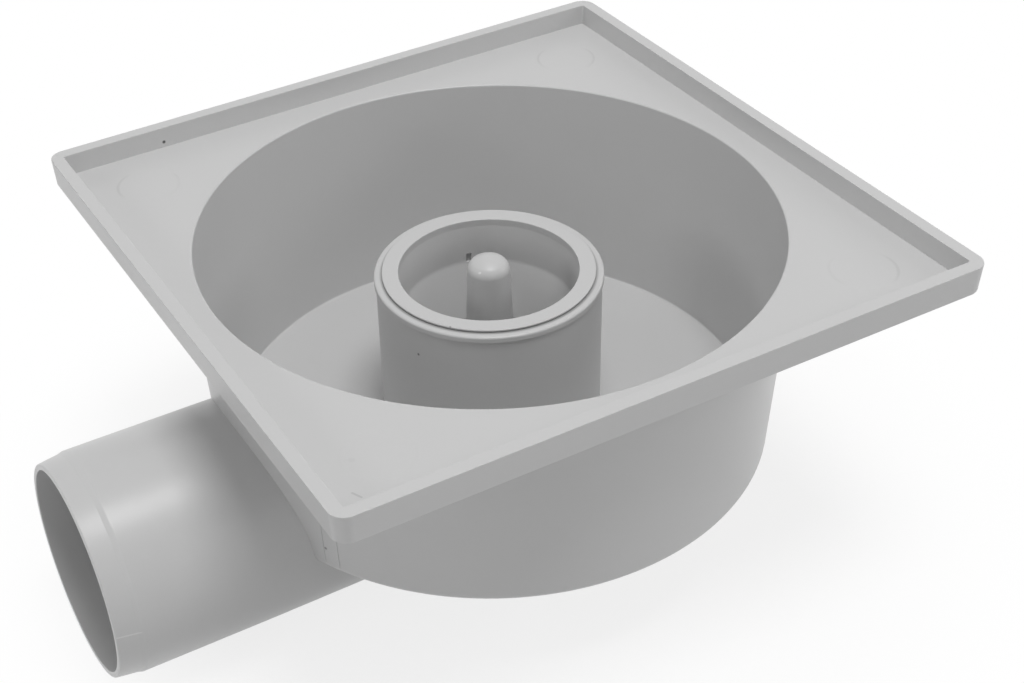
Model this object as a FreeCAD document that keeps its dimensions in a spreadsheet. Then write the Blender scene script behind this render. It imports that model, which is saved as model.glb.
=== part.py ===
import FreeCAD, Part
import math
import os
import Sketcher

from FreeCAD import Placement, Rotation, Vector

# Floor gully trap: one moulded trap body and the insert pressed into its standpipe.
# Origin on the bowl axis at the rim of the tray, which is the finished floor level.
# +Z is up and the outlet spigot points along -X. Millimetres and degrees.

# name of the size, value, what it is
SIZES = [
    # tray that takes the grate
    ("tray_side", 148.0, "outside of the square tray at its rim"),
    ("tray_corner", 3.5, "radius of the tray's upright corners"),
    ("tray_height", 6.5, "outside height of the tray"),
    ("tray_draft", 3.0, "taper of the tray's outside"),
    ("rim_width", 3.0, "top width of the rim"),
    ("rim_draft", 2.0, "taper of the rim's inside"),
    ("recess_depth", 5.0, "depth of the grate recess"),
    # round bowl below the tray
    ("mouth_margin", 6.8, "tray floor left between the rim and the bowl's mouth"),
    ("mouth_bevel", 0.6, "bevel of the bowl's mouth"),
    ("bowl_depth", 49.9, "depth of the bowl below the tray floor"),
    ("bowl_lean", 3.9, "how far the bowl wall leans in from mouth to floor"),
    ("wall_top", 1.9, "bowl wall at the tray"),
    ("wall_foot", 2.8, "bowl wall at the floor"),
    ("floor_thickness", 1.8, "thickness of the bowl floor"),
    ("underside_bevel", 1.6, "outside bevel at the foot of the bowl"),
    # pipework: the standpipe and the outlet share one bore
    ("pipe_radius", 25.1, "outside radius of standpipe and outlet"),
    ("pipe_wall", 2.3, "wall of standpipe and outlet"),
    ("standpipe_height", 38.1, "height of the standpipe above the bowl floor"),
    ("bead_proud", 0.4, "how far the bead round the standpipe's rim stands out"),
    ("bead_height", 1.6, "height of the bead, which runs out into the standpipe"),
    ("bead_bevel", 0.4, "bevel of the bead's top edge"),
    ("channel_radius", 24.6, "outside radius of the channel at its round end"),
    ("channel_draft", 0.4, "widening of the channel towards the outlet"),
    ("outlet_reach", 103.3, "bowl axis to the mouth of the outlet"),
    ("lead_length", 5.4, "length of the reduced end of the outlet"),
    ("lead_step", 0.35, "step down to the reduced end"),
    ("lead_drop", 0.6, "further drop of the reduced end at the mouth"),
    # pad left on the bowl wall round the outlet by the side slides of the mould
    ("pad_proud", 0.25, "thickness of the pad"),
    ("pad_angle", 54.0, "angle that the pad takes of the bowl wall"),
    # insert in the standpipe
    ("lip_radius", 23.7, "outside radius of the insert's lip"),
    ("lip_height", 0.7, "lip above the standpipe"),
    ("insert_clearance", 0.15, "radial clearance of the insert in the standpipe"),
    ("insert_radius", 20.0, "inside radius of the insert at its lip"),
    ("band_height", 1.7, "straight band below the lip"),
    ("seat_radius", 19.3, "inside radius where the tapered socket ends"),
    ("seat_depth", 10.7, "depth of the tapered socket below the lip"),
    ("funnel_angle", 35.0, "slope of the funnel from the upright"),
    ("throat_radius", 10.5, "inside radius of the throat"),
    ("throat_length", 5.0, "length of the throat collar"),
    ("funnel_wall", 1.6, "wall of funnel and throat"),
    ("pin_rise", 2.8, "top of the centre pin above the lip"),
    ("pin_radius", 4.75, "radius of the centre pin below its domed top"),
    ("dome_radius", 6.5, "radius of the dome itself"),
    ("pin_draft", 2.3, "taper of the centre pin down to the funnel"),
    ("rib_count", 3, "ribs that carry the pin in the throat"),
    ("rib_width", 2.0, "thickness of a rib"),
    ("notch_angle", 68.9, "direction of the notch from +X"),
    ("notch_span", 13.0, "angle that the notch takes of the socket wall"),
    ("notch_height", 2.2, "height of the notch above the funnel"),
    ("notch_depth", 0.9, "depth of the notch in the socket wall"),
]

# levels and radii that several features share, as expressions on the sheet
TRAY_FLOOR = "(-Sizes.recess_depth)"
TRAY_UNDERSIDE = "(-Sizes.tray_height)"
BOWL_FLOOR = "(-Sizes.recess_depth - Sizes.bowl_depth)"
BOWL_UNDERSIDE = "(-Sizes.recess_depth - Sizes.bowl_depth - Sizes.floor_thickness)"
STANDPIPE_TOP = "(-Sizes.recess_depth - Sizes.bowl_depth + Sizes.standpipe_height)"
RECESS_REACH = "(Sizes.tray_side / 2 - Sizes.rim_width)"
MOUTH_RADIUS = f"({RECESS_REACH} - Sizes.mouth_margin)"
FLOOR_RADIUS = f"({MOUTH_RADIUS} - Sizes.bowl_lean)"
WALL_TOP_RADIUS = f"({MOUTH_RADIUS} + Sizes.wall_top)"
WALL_FOOT_RADIUS = f"({FLOOR_RADIUS} + Sizes.wall_foot)"
BORE_RADIUS = "(Sizes.pipe_radius - Sizes.pipe_wall)"
BEAD_RADIUS = "(Sizes.pipe_radius + Sizes.bead_proud)"
BEAD_FOOT = f"({STANDPIPE_TOP} - Sizes.bead_height)"
# the half-round channel hangs from the underside of the bowl floor
OUTLET_LEVEL = BOWL_UNDERSIDE
OUTLET_MOUTH = "(-Sizes.outlet_reach)"
# the tapered channel runs into the straight outlet tube just clear of the bowl wall
OUTLET_START = f"(-{WALL_TOP_RADIUS})"
LEAD_START = "(-Sizes.outlet_reach + Sizes.lead_length)"
LIP_TOP = f"({STANDPIPE_TOP} + Sizes.lip_height)"
PLUG_RADIUS = f"({BORE_RADIUS} - Sizes.insert_clearance)"
SEAT_LEVEL = f"({LIP_TOP} - Sizes.seat_depth)"
FUNNEL_DROP = "((Sizes.seat_radius - Sizes.throat_radius) / tan(Sizes.funnel_angle * 1deg))"
THROAT_TOP = f"({SEAT_LEVEL} - {FUNNEL_DROP})"
THROAT_FOOT = f"({THROAT_TOP} - Sizes.throat_length)"
COLLAR_RADIUS = "(Sizes.throat_radius + Sizes.funnel_wall)"
PIN_TOP = f"({LIP_TOP} + Sizes.pin_rise)"
DOME_CENTRE = f"({PIN_TOP} - Sizes.dome_radius)"
PIN_SHOULDER = f"({DOME_CENTRE} + sqrt(Sizes.dome_radius ^ 2 - Sizes.pin_radius ^ 2))"

doc = FreeCAD.newDocument("GullyTrap")


def make_sheet():
    sheet = doc.addObject("Spreadsheet::Sheet", "Sizes")
    for row, (name, value, note) in enumerate(SIZES, start=1):
        sheet.set(f"A{row}", name)
        sheet.set(f"B{row}", str(value))
        sheet.setAlias(f"B{row}", name)
        sheet.set(f"C{row}", note)
    doc.recompute()
    return sheet


SHEET = make_sheet()


def size(expression):
    """The present value of an expression on the sheet."""
    return float(SHEET.evalExpression(expression))


def make_body(name, label):
    body = doc.addObject("PartDesign::Body", name)
    body.Label = label
    body.Placement = Placement()
    return body


def origin_plane(body, role):
    for feature in body.Origin.OriginFeatures:
        if feature.Role == role:
            return feature
    raise ValueError(f"{body.Name} has no {role}")


def make_sketch(body, name, role, turn=0.0, turn_axis=Vector(0, 1, 0)):
    sketch = body.newObject("Sketcher::SketchObject", name)
    sketch.AttachmentSupport = (origin_plane(body, role), "")
    sketch.MapMode = "FlatFace"
    sketch.AttachmentOffset = Placement(Vector(0, 0, 0), Rotation(turn_axis, turn))
    return sketch


def place_vertex(sketch, edge, end, across, upward):
    """Hold one end of an edge at a place given by two expressions from the sketch's origin."""
    for kind, expression in (("DistanceX", across), ("DistanceY", upward)):
        if size(expression) == 0:
            on_axis = -2 if kind == "DistanceX" else -1
            sketch.addConstraint(Sketcher.Constraint("PointOnObject", edge, end, on_axis))
            continue
        index = sketch.addConstraint(Sketcher.Constraint(kind, -1, 1, edge, end, size(expression)))
        sketch.setExpression(f"Constraints[{index}]", expression)


def draw_outline(sketch, corners):
    """Closed outline through corners: two expressions for its place, a third for its rounding."""
    count = len(corners)
    places = [Vector(size(corner[0]), size(corner[1]), 0) for corner in corners]
    radii = [size(corner[2]) if len(corner) > 2 else 0.0 for corner in corners]
    starts = []
    ends = []
    for i in range(count):
        before = (places[i - 1] - places[i]).normalize()
        after = (places[(i + 1) % count] - places[i]).normalize()
        setback = radii[i] / math.tan(before.getAngle(after) / 2) if radii[i] else 0.0
        ends.append(places[i] + before * setback)
        starts.append(places[i] + after * setback)
    first = sketch.GeometryCount
    for i in range(count):
        sketch.addGeometry(Part.LineSegment(starts[i], ends[(i + 1) % count]), False)
    for i, corner in enumerate(corners):
        line = first + i
        line_before = first + (i - 1) % count
        if not radii[i]:
            sketch.addConstraint(Sketcher.Constraint("Coincident", line_before, 2, line, 1))
            place_vertex(sketch, line, 1, corner[0], corner[1])
            continue
        inward = (ends[i] + starts[i] - places[i] * 2).normalize()
        half_angle = (ends[i] - places[i]).getAngle(starts[i] - places[i]) / 2
        middle = places[i] + inward * (radii[i] / math.sin(half_angle) - radii[i])
        arc = sketch.addGeometry(Part.Arc(ends[i], middle, starts[i]), False)
        point = sketch.addGeometry(Part.Point(places[i]), True)
        turned = (middle - ends[i]).cross(starts[i] - middle).z > 0
        sketch.addConstraint(Sketcher.Constraint("Tangent", line_before, 2, arc, 1 if turned else 2))
        sketch.addConstraint(Sketcher.Constraint("Tangent", arc, 2 if turned else 1, line, 1))
        sketch.addConstraint(Sketcher.Constraint("PointOnObject", point, 1, line_before))
        sketch.addConstraint(Sketcher.Constraint("PointOnObject", point, 1, line))
        place_vertex(sketch, point, 1, corner[0], corner[1])
        index = sketch.addConstraint(Sketcher.Constraint("Radius", arc, radii[i]))
        sketch.setExpression(f"Constraints[{index}]", corner[2])


def draw_circle(sketch, upward, radius):
    """Circle with its centre on the sketch's upright axis."""
    centre = Vector(0, size(upward), 0)
    edge = sketch.addGeometry(Part.Circle(centre, Vector(0, 0, 1), size(radius)), False)
    place_vertex(sketch, edge, 3, "0", upward)
    index = sketch.addConstraint(Sketcher.Constraint("Radius", edge, size(radius)))
    sketch.setExpression(f"Constraints[{index}]", radius)


def draw_quarter_disc(sketch, upward, radius):
    """Quarter disc up and to the +X side, and the level axis along its foot."""
    level = size(upward)
    reach = size(radius)
    centre = Vector(0, level, 0)
    side = Vector(reach, level, 0)
    top = Vector(0, level + reach, 0)
    middle = centre + Vector(reach, reach, 0) / 2 ** 0.5
    foot = sketch.addGeometry(Part.LineSegment(centre, side), False)
    bow = sketch.addGeometry(Part.Arc(side, middle, top), False)
    back = sketch.addGeometry(Part.LineSegment(top, centre), False)
    axis = sketch.addGeometry(Part.LineSegment(centre, side), True)
    sketch.addConstraint(Sketcher.Constraint("Coincident", foot, 2, bow, 1))
    sketch.addConstraint(Sketcher.Constraint("Coincident", bow, 2, back, 1))
    sketch.addConstraint(Sketcher.Constraint("Coincident", back, 2, foot, 1))
    sketch.addConstraint(Sketcher.Constraint("Coincident", bow, 3, foot, 1))
    sketch.addConstraint(Sketcher.Constraint("Coincident", axis, 1, foot, 1))
    sketch.addConstraint(Sketcher.Constraint("Coincident", axis, 2, foot, 2))
    sketch.addConstraint(Sketcher.Constraint("Horizontal", foot))
    sketch.addConstraint(Sketcher.Constraint("Vertical", back))
    place_vertex(sketch, foot, 1, "0", upward)
    index = sketch.addConstraint(Sketcher.Constraint("Radius", bow, reach))
    sketch.setExpression(f"Constraints[{index}]", radius)


def draw_half_cap(sketch, foot_level, top_level, radius):
    """Half of a shallow cap to the +X side, its bow centred on the sketch's upright axis."""
    low = size(foot_level)
    high = size(top_level)
    reach = size(radius)
    bow_radius = ((high - low) ** 2 + reach ** 2) / (2 * (high - low))
    side = Vector(reach, low, 0)
    top = Vector(0, high, 0)
    half_way = math.asin(reach / bow_radius) / 2
    bow_centre = Vector(0, high - bow_radius, 0)
    middle = bow_centre + Vector(math.sin(half_way), math.cos(half_way), 0) * bow_radius
    foot = sketch.addGeometry(Part.LineSegment(Vector(0, low, 0), side), False)
    bow = sketch.addGeometry(Part.Arc(side, middle, top), False)
    back = sketch.addGeometry(Part.LineSegment(top, Vector(0, low, 0)), False)
    sketch.addConstraint(Sketcher.Constraint("Coincident", foot, 2, bow, 1))
    sketch.addConstraint(Sketcher.Constraint("Coincident", bow, 2, back, 1))
    sketch.addConstraint(Sketcher.Constraint("Coincident", back, 2, foot, 1))
    sketch.addConstraint(Sketcher.Constraint("PointOnObject", bow, 3, -2))
    place_vertex(sketch, foot, 1, "0", foot_level)
    place_vertex(sketch, foot, 2, radius, foot_level)
    place_vertex(sketch, back, 1, "0", top_level)


def draw_rounded_square(sketch, side, corner):
    """Square about the sketch's origin with rounded corners."""
    half = size(side) / 2
    radius = size(corner)
    flat = half - radius
    first = sketch.GeometryCount
    for quarter in range(4):
        turn = Rotation(Vector(0, 0, 1), 90 * quarter)
        start = turn.multVec(Vector(half, -flat, 0))
        end = turn.multVec(Vector(half, flat, 0))
        middle = turn.multVec(Vector(flat, flat, 0) + Vector(radius, radius, 0) / 2 ** 0.5)
        after = turn.multVec(Vector(flat, half, 0))
        sketch.addGeometry(Part.LineSegment(start, end), False)
        sketch.addGeometry(Part.Arc(end, middle, after), False)
    for quarter in range(4):
        straight = first + 2 * quarter
        bend = straight + 1
        following = first + (2 * quarter + 2) % 8
        sketch.addConstraint(Sketcher.Constraint("Tangent", straight, 2, bend, 1))
        sketch.addConstraint(Sketcher.Constraint("Tangent", bend, 2, following, 1))
        upright = quarter % 2 == 0
        sketch.addConstraint(Sketcher.Constraint("Vertical" if upright else "Horizontal", straight))
        kind = "DistanceX" if upright else "DistanceY"
        sign = "" if quarter < 2 else "-"
        reach = f"({sign}{side} / 2)"
        index = sketch.addConstraint(Sketcher.Constraint(kind, -1, 1, straight, 1, size(reach)))
        sketch.setExpression(f"Constraints[{index}]", reach)
        if quarter:
            sketch.addConstraint(Sketcher.Constraint("Equal", first + 1, bend))
        else:
            index = sketch.addConstraint(Sketcher.Constraint("Radius", bend, radius))
            sketch.setExpression(f"Constraints[{index}]", corner)


def sweep(body, kind, name, sketch, **settings):
    """A pad, pocket, revolution or groove of a sketch; text settings are expressions."""
    feature = body.newObject(f"PartDesign::{kind}", name)
    feature.Profile = sketch
    for setting, value in settings.items():
        if isinstance(value, str) and setting != "Type":
            feature.setExpression(setting, value)
        else:
            setattr(feature, setting, value)
    doc.recompute()
    return feature


def turn(body, kind, name, sketch, axis="V_Axis", angle="360"):
    return sweep(body, kind, name, sketch, ReferenceAxis=(sketch, [axis]), Angle=angle, Midplane=True)


def ring_edges(feature, radius, level):
    """Names of the level circular edges of a feature with this radius at this level."""
    names = []
    for number, edge in enumerate(feature.Shape.Edges, start=1):
        if edge.Degenerated or not isinstance(edge.Curve, Part.Circle):
            continue
        circle = edge.Curve
        upright = abs(circle.Axis.z) > 0.999
        centred = Vector(circle.Center.x, circle.Center.y, 0).Length < 1e-3
        if upright and centred and abs(circle.Radius - size(radius)) < 1e-3:
            if abs(circle.Center.z - size(level)) < 1e-3:
                names.append(f"Edge{number}")
    if not names:
        raise ValueError(f"{feature.Name} has no ring of radius {size(radius)}")
    return names


def bevel_ring(body, name, base, radius, level, width):
    chamfer = body.newObject("PartDesign::Chamfer", name)
    chamfer.Base = (base, ring_edges(base, radius, level))
    chamfer.setExpression("Size", width)
    doc.recompute()
    return chamfer


def add_outlet(body):
    """Channel with a round end under the standpipe and the outlet tube, hollow all along."""
    channel = make_sketch(body, "ChannelOutline", "YZ_Plane")
    draw_circle(channel, OUTLET_LEVEL, "Sizes.channel_radius")
    sweep(body, "Pad", "Channel", channel, Length=f"(-{OUTLET_START})", Reversed=True,
          TaperAngle="Sizes.channel_draft")
    end = make_sketch(body, "ChannelEndOutline", "XZ_Plane")
    draw_quarter_disc(end, OUTLET_LEVEL, "Sizes.channel_radius")
    turn(body, "Revolution", "ChannelEnd", end, "Axis0")
    tube = make_sketch(body, "OutletOutline", "YZ_Plane")
    tube.setExpression("AttachmentOffset.Base.z", OUTLET_START)
    draw_circle(tube, OUTLET_LEVEL, "Sizes.pipe_radius")
    sweep(body, "Pad", "Outlet", tube, Length=f"({OUTLET_START} + Sizes.outlet_reach)", Reversed=True)
    bore = make_sketch(body, "OutletBoreOutline", "YZ_Plane")
    draw_circle(bore, OUTLET_LEVEL, BORE_RADIUS)
    sweep(body, "Pocket", "OutletBore", bore, Length="Sizes.outlet_reach")
    bore_end = make_sketch(body, "BoreEndOutline", "XZ_Plane")
    draw_quarter_disc(bore_end, OUTLET_LEVEL, BORE_RADIUS)
    turn(body, "Groove", "BoreEnd", bore_end, "Axis0")


def add_spigot_end(body):
    """Reduced end that leads the outlet into a pipe socket."""
    sketch = make_sketch(body, "SpigotEndOutline", "XZ_Plane")
    outside = f"({OUTLET_LEVEL} + Sizes.pipe_radius + 1)"
    at_step = f"({OUTLET_LEVEL} + Sizes.pipe_radius - Sizes.lead_step)"
    at_mouth = f"({OUTLET_LEVEL} + Sizes.pipe_radius - Sizes.lead_step - Sizes.lead_drop)"
    beyond = f"({OUTLET_MOUTH} - 1)"
    draw_outline(sketch, [
        (LEAD_START, at_step),
        (LEAD_START, outside),
        (beyond, outside),
        (beyond, at_mouth),
        (OUTLET_MOUTH, at_mouth),
    ])
    start = Vector(size(OUTLET_MOUTH), size(OUTLET_LEVEL), 0)
    end = Vector(size(LEAD_START), size(OUTLET_LEVEL), 0)
    axis = sketch.addGeometry(Part.LineSegment(start, end), True)
    place_vertex(sketch, axis, 1, OUTLET_MOUTH, OUTLET_LEVEL)
    place_vertex(sketch, axis, 2, LEAD_START, OUTLET_LEVEL)
    turn(body, "Groove", "SpigotEnd", sketch, "Axis0")


def add_bowl_block(body):
    """Outside of the bowl as a solid block, with the pad round the outlet."""
    block = make_sketch(body, "BowlOutline", "XZ_Plane")
    draw_outline(block, [
        ("0", BOWL_UNDERSIDE),
        (f"({WALL_FOOT_RADIUS} - Sizes.underside_bevel)", BOWL_UNDERSIDE),
        (WALL_FOOT_RADIUS, f"({BOWL_UNDERSIDE} + Sizes.underside_bevel)"),
        (WALL_TOP_RADIUS, TRAY_UNDERSIDE),
        ("0", TRAY_UNDERSIDE),
    ])
    turn(body, "Revolution", "Bowl", block)
    pad = make_sketch(body, "SlidePadOutline", "XZ_Plane")
    inside = f"({WALL_FOOT_RADIUS} - Sizes.wall_foot / 2)"
    draw_outline(pad, [
        (f"(-{inside})", f"({BOWL_UNDERSIDE} + Sizes.underside_bevel)"),
        (f"(-{WALL_FOOT_RADIUS} - Sizes.pad_proud)", f"({BOWL_UNDERSIDE} + Sizes.underside_bevel)"),
        (f"(-{WALL_TOP_RADIUS} - Sizes.pad_proud)", TRAY_UNDERSIDE),
        (f"(-{inside})", TRAY_UNDERSIDE),
    ])
    turn(body, "Revolution", "SlidePad", pad, angle="Sizes.pad_angle")


def add_tray(body):
    """Square tray with its grate recess."""
    slab = make_sketch(body, "TrayOutline", "XY_Plane")
    draw_rounded_square(slab, "Sizes.tray_side", "Sizes.tray_corner")
    sweep(body, "Pad", "Tray", slab, Length="Sizes.tray_height", Reversed=True,
          TaperAngle="-Sizes.tray_draft")
    recess = make_sketch(body, "RecessOutline", "XY_Plane")
    near = f"(-{RECESS_REACH})"
    far = RECESS_REACH
    draw_outline(recess, [(near, near), (far, near), (far, far), (near, far)])
    sweep(body, "Pocket", "Recess", recess, Length="Sizes.recess_depth", TaperAngle="-Sizes.rim_draft")


def cut_bowl(body):
    """Ring-shaped water space of the bowl, open to the tray, and the bore of the standpipe."""
    cavity = make_sketch(body, "CavityOutline", "XZ_Plane")
    draw_outline(cavity, [
        ("Sizes.pipe_radius", BOWL_FLOOR),
        (FLOOR_RADIUS, BOWL_FLOOR),
        (MOUTH_RADIUS, TRAY_FLOOR),
        (MOUTH_RADIUS, "0"),
        ("0", "0"),
        ("0", STANDPIPE_TOP),
        (f"({BEAD_RADIUS} - Sizes.bead_bevel)", STANDPIPE_TOP),
        (BEAD_RADIUS, f"({STANDPIPE_TOP} - Sizes.bead_bevel)"),
        (BEAD_RADIUS, f"({BEAD_FOOT} + Sizes.bead_proud)"),
        ("Sizes.pipe_radius", BEAD_FOOT),
    ])
    bowl = turn(body, "Groove", "Cavity", cavity)
    bevel_ring(body, "Mouth", bowl, MOUTH_RADIUS, TRAY_FLOOR, "Sizes.mouth_bevel")
    bore = make_sketch(body, "StandpipeBoreOutline", "XZ_Plane")
    draw_outline(bore, [
        ("0", OUTLET_LEVEL),
        (BORE_RADIUS, OUTLET_LEVEL),
        (BORE_RADIUS, STANDPIPE_TOP),
        ("0", STANDPIPE_TOP),
    ])
    turn(body, "Groove", "StandpipeBore", bore)


def build_trap_body():
    """One moulding: tray, bowl, standpipe, half-round channel and outlet spigot."""
    body = make_body("TrapBody", "trap_body")
    add_outlet(body)
    add_bowl_block(body)
    add_tray(body)
    cut_bowl(body)
    add_spigot_end(body)
    return body


def add_sleeve(body):
    """Lip, plug, tapered socket, funnel and throat collar, turned in one outline."""
    sketch = make_sketch(body, "SleeveOutline", "XZ_Plane")
    slant = "(Sizes.funnel_wall / cos(Sizes.funnel_angle * 1deg))"
    plug_foot = f"({SEAT_LEVEL} - ({slant} + Sizes.seat_radius - {PLUG_RADIUS})" \
                " / tan(Sizes.funnel_angle * 1deg))"
    collar_top = f"({THROAT_TOP} - ({slant} - Sizes.funnel_wall) / tan(Sizes.funnel_angle * 1deg))"
    draw_outline(sketch, [
        ("Sizes.insert_radius", LIP_TOP),
        ("Sizes.insert_radius", f"({LIP_TOP} - Sizes.band_height)"),
        ("Sizes.seat_radius", SEAT_LEVEL),
        ("Sizes.throat_radius", THROAT_TOP),
        ("Sizes.throat_radius", THROAT_FOOT),
        (COLLAR_RADIUS, THROAT_FOOT),
        (COLLAR_RADIUS, collar_top),
        (f"(Sizes.seat_radius + {slant})", SEAT_LEVEL),
        (PLUG_RADIUS, SEAT_LEVEL),
        (PLUG_RADIUS, STANDPIPE_TOP),
        ("Sizes.lip_radius", STANDPIPE_TOP),
        ("Sizes.lip_radius", LIP_TOP),
    ])
    turn(body, "Revolution", "Sleeve", sketch)


def add_pin(body):
    """Centre pin with a domed top and ribs that carry it in the throat."""
    sketch = make_sketch(body, "PinOutline", "XZ_Plane")
    foot_radius = f"(Sizes.pin_radius + ({PIN_SHOULDER} - {SEAT_LEVEL}) * tan(Sizes.pin_draft * 1deg))"
    draw_outline(sketch, [
        ("0", THROAT_FOOT),
        (foot_radius, THROAT_FOOT),
        (foot_radius, SEAT_LEVEL),
        ("Sizes.pin_radius", PIN_SHOULDER),
        ("0", PIN_SHOULDER),
    ])
    turn(body, "Revolution", "Pin", sketch)
    dome = make_sketch(body, "PinDomeOutline", "XZ_Plane")
    draw_half_cap(dome, PIN_SHOULDER, PIN_TOP, "Sizes.pin_radius")
    turn(body, "Revolution", "PinDome", dome)
    rib = make_sketch(body, "RibOutline", "XY_Plane")
    rib.setExpression("AttachmentOffset.Base.z", THROAT_FOOT)
    reach = "(Sizes.throat_radius + Sizes.funnel_wall / 2)"
    half = "(Sizes.rib_width / 2)"
    draw_outline(rib, [
        (f"(-{reach})", f"(-{half})"),
        ("0", f"(-{half})"),
        ("0", half),
        (f"(-{reach})", half),
    ])
    first = sweep(body, "Pad", "Rib", rib, Length="Sizes.throat_length")
    ribs = body.newObject("PartDesign::PolarPattern", "Ribs")
    ribs.Originals = [first]
    ribs.Axis = (rib, ["N_Axis"])
    ribs.Angle = 360
    ribs.setExpression("Occurrences", "Sizes.rib_count")
    body.Tip = ribs
    doc.recompute()


def cut_notch(body):
    """Small notch at the foot of the socket wall, just above the funnel."""
    # the sketch stands on the middle of the notch
    sketch = make_sketch(body, "NotchOutline", "XZ_Plane", size("Sizes.notch_angle"))
    deep = "(Sizes.insert_radius + Sizes.notch_depth)"
    draw_outline(sketch, [
        ("(Sizes.seat_radius - 1)", SEAT_LEVEL),
        (deep, SEAT_LEVEL),
        (deep, f"({SEAT_LEVEL} + Sizes.notch_height)"),
        ("(Sizes.seat_radius - 1)", f"({SEAT_LEVEL} + Sizes.notch_height)"),
    ])
    turn(body, "Groove", "Notch", sketch, angle="Sizes.notch_span")


def build_insert():
    """Insert pressed into the standpipe: lip, tapered socket, funnel and centre pin."""
    body = make_body("StandpipeInsert", "standpipe_insert")
    add_sleeve(body)
    add_pin(body)
    cut_notch(body)
    return body


def check_and_write(bodies):
    doc.recompute()
    for item in doc.Objects:
        if "Invalid" in item.State or "Error" in item.State:
            raise RuntimeError(f"{item.Name} failed: {item.State}")
    for body in bodies:
        if body.Shape.isNull() or not body.Shape.isValid():
            raise RuntimeError(f"{body.Label} has no valid shape")
        if len(body.Shape.Solids) != 1:
            raise RuntimeError(f"{body.Label} has {len(body.Shape.Solids)} solids")
    os.makedirs("parts", exist_ok=True)
    for body in bodies:
        box = body.Shape.BoundBox
        print(f"{body.Label}: {body.Shape.Volume / 1000:.2f} cm3, "
              f"X {box.XMin:.2f} to {box.XMax:.2f}, Y {box.YMin:.2f} to {box.YMax:.2f}, "
              f"Z {box.ZMin:.2f} to {box.ZMax:.2f}")
        body.Shape.exportStep(os.path.join("parts", body.Label + ".step"))


check_and_write([build_trap_body(), build_insert()])
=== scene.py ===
import math

import bpy
from mathutils import Matrix, Vector


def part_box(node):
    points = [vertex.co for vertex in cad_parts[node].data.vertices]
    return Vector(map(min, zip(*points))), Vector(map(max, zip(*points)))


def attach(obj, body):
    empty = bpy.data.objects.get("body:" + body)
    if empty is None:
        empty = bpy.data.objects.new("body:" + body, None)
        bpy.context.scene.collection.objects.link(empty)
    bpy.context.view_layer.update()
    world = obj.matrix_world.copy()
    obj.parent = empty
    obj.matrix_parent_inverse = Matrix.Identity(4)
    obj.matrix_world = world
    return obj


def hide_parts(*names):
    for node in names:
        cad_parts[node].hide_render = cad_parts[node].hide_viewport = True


bl_info = {
    "name": "Floor gully trap",
    "version": (1, 0, 0),
    "blender": (4, 5, 0),
    "location": "3D View > Sidebar > Gully trap",
    "description": "Models a moulded floor gully trap and its standpipe insert, and sets its stage",
    "category": "Object",
}

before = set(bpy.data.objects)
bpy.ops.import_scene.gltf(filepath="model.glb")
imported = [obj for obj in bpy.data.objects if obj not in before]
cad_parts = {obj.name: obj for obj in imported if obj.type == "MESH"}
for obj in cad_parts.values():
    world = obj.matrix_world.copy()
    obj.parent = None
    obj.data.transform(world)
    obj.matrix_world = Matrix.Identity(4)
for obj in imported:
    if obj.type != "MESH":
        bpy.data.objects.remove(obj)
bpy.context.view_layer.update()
BODY_LOW, BODY_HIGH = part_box("trap_body")
INSERT_LOW, INSERT_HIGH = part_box("standpipe_insert")

MM = 0.001
# Steps of a full turn: of the bowl and the insert, of the pipes, and of the pin
ROUND_STEPS = 192
PIPE_STEPS = 128
PIN_STEPS = 96
# Points nearer to one another than this, in metres, are one point
WELD = 1e-6
# A face counts as level where its normal has more than this along Z
LEVEL_FACE = 0.9
# Edges that turn by more than this stay sharp
SHARP_TURN = math.radians(30.0)
# Taper of the grate recess
RECESS_DRAFT = math.radians(2.0)
# Shares of the tray floor's thickness by which the bowl and its slide pad run into the tray
BOWL_SINK = 0.4
PAD_SINK = 0.3


# Sizes, colours and stage settings


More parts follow.
